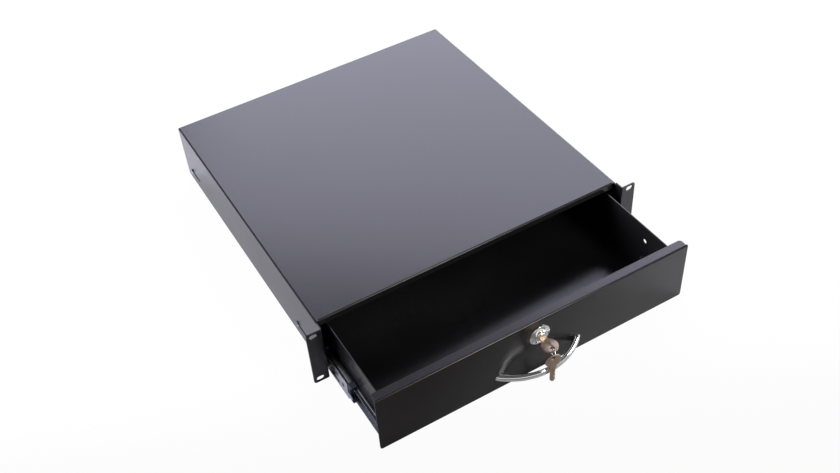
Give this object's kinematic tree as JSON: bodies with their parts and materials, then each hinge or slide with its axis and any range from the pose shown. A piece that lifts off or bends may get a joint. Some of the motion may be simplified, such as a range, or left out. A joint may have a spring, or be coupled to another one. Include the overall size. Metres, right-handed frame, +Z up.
{
  "type": "sliding rack drawer",
  "caption": "Black sheet-metal rack drawer on telescopic ball-bearing slides, with a chrome bow handle, a keyed cam lock and its keys on a ring.",
  "frame": {"origin": "centre of the pattern of rack slots, on the front faces of the ears", "axes": "+X to the right seen from the front, +Y back into the rack, +Z up"},
  "size_m": [0.4826, 0.6325, 0.0882],
  "materials": {
    "painted_steel": "black fine-texture powder coat, semi-gloss",
    "zinc_steel": "bright zinc plating",
    "bearing_steel": "polished",
    "chrome_plate": "polished chrome plating",
    "key_brass": "worn nickel-washed brass",
    "stop_plastic": "black moulded plastic",
    "bumper_rubber": "matt black rubber"
  },
  "bodies": {
    "case": {"case_cover": "painted_steel", "case_base": "painted_steel", "base_screws": "zinc_steel", "rear_screws": "zinc_steel", "side_screws": "zinc_steel", "slide_outer_left": "zinc_steel", "slide_outer_right": "zinc_steel", "rear_bumper_left": "bumper_rubber", "rear_bumper_right": "bumper_rubber"},
    "drawer": {"drawer_tray": "painted_steel", "drawer_front": "painted_steel", "panel_nuts": "zinc_steel", "wall_screws": "zinc_steel", "handle": "chrome_plate", "handle_screws": "zinc_steel", "lock_housing": "chrome_plate", "lock_nut": "zinc_steel", "slide_inner_left": "zinc_steel", "slide_inner_right": "zinc_steel"},
    "middle_left": {"slide_mid_left": "zinc_steel", "slide_stop_left": "stop_plastic"},
    "outer_race_left": {"outer_cage_left": "zinc_steel", "outer_balls_left": "bearing_steel"},
    "inner_race_left": {"inner_cage_left": "zinc_steel", "inner_balls_left": "bearing_steel"},
    "middle_right": {"slide_mid_right": "zinc_steel", "slide_stop_right": "stop_plastic"},
    "outer_race_right": {"outer_cage_right": "zinc_steel", "outer_balls_right": "bearing_steel"},
    "inner_race_right": {"inner_cage_right": "zinc_steel", "inner_balls_right": "bearing_steel"},
    "lock_core": {"lock_plug": "chrome_plate", "lock_cam": "zinc_steel", "cam_screw": "zinc_steel"},
    "key": {"key_in_lock": "key_brass"},
    "ring": {"key_ring": "chrome_plate"},
    "spare": {"spare_key": "key_brass"}
  },
  "joints": [
    {"name": "drawer_slide", "type": "slide", "parent": "case", "child": "drawer", "axis": [0, -1, 0], "range_m": [-0.127, 0.303]},
    {"name": "middle_left_slide", "type": "slide", "parent": "case", "child": "middle_left", "axis": [0, -1, 0], "range_m": [-0.0635, 0.1515]},
    {"name": "outer_race_left_slide", "type": "slide", "parent": "case", "child": "outer_race_left", "axis": [0, -1, 0], "range_m": [-0.03175, 0.07575]},
    {"name": "inner_race_left_slide", "type": "slide", "parent": "case", "child": "inner_race_left", "axis": [0, -1, 0], "range_m": [-0.09525, 0.22725]},
    {"name": "middle_right_slide", "type": "slide", "parent": "case", "child": "middle_right", "axis": [0, -1, 0], "range_m": [-0.0635, 0.1515]},
    {"name": "outer_race_right_slide", "type": "slide", "parent": "case", "child": "outer_race_right", "axis": [0, -1, 0], "range_m": [-0.03175, 0.07575]},
    {"name": "inner_race_right_slide", "type": "slide", "parent": "case", "child": "inner_race_right", "axis": [0, -1, 0], "range_m": [-0.09525, 0.22725]},
    {"name": "lock_turn", "type": "hinge", "parent": "drawer", "child": "lock_core", "pos_m": [0, -0.127, 0.01795], "axis": [0, 1, 0], "range_deg": [0, 90]},
    {"name": "key_pull", "type": "slide", "parent": "lock_core", "child": "key", "axis": [0, -1, 0], "range_m": [0, 0.03]},
    {"name": "ring_swing", "type": "hinge", "parent": "key", "child": "ring", "pos_m": [0, -0.15615, 0.01795], "axis": [-1, 0, 0], "range_deg": [-3, 12]},
    {"name": "spare_key_swing", "type": "hinge", "parent": "ring", "child": "spare", "pos_m": [0, -0.15615, 0.00707], "axis": [0, 1, 0], "range_deg": [-25, 25]}
  ],
  "couplings": [
    {"joint": "middle_left_slide", "follows": "drawer_slide", "ratio": 0.5},
    {"joint": "outer_race_left_slide", "follows": "drawer_slide", "ratio": 0.25},
    {"joint": "inner_race_left_slide", "follows": "drawer_slide", "ratio": 0.75},
    {"joint": "middle_right_slide", "follows": "drawer_slide", "ratio": 0.5},
    {"joint": "outer_race_right_slide", "follows": "drawer_slide", "ratio": 0.25},
    {"joint": "inner_race_right_slide", "follows": "drawer_slide", "ratio": 0.75}
  ]
}
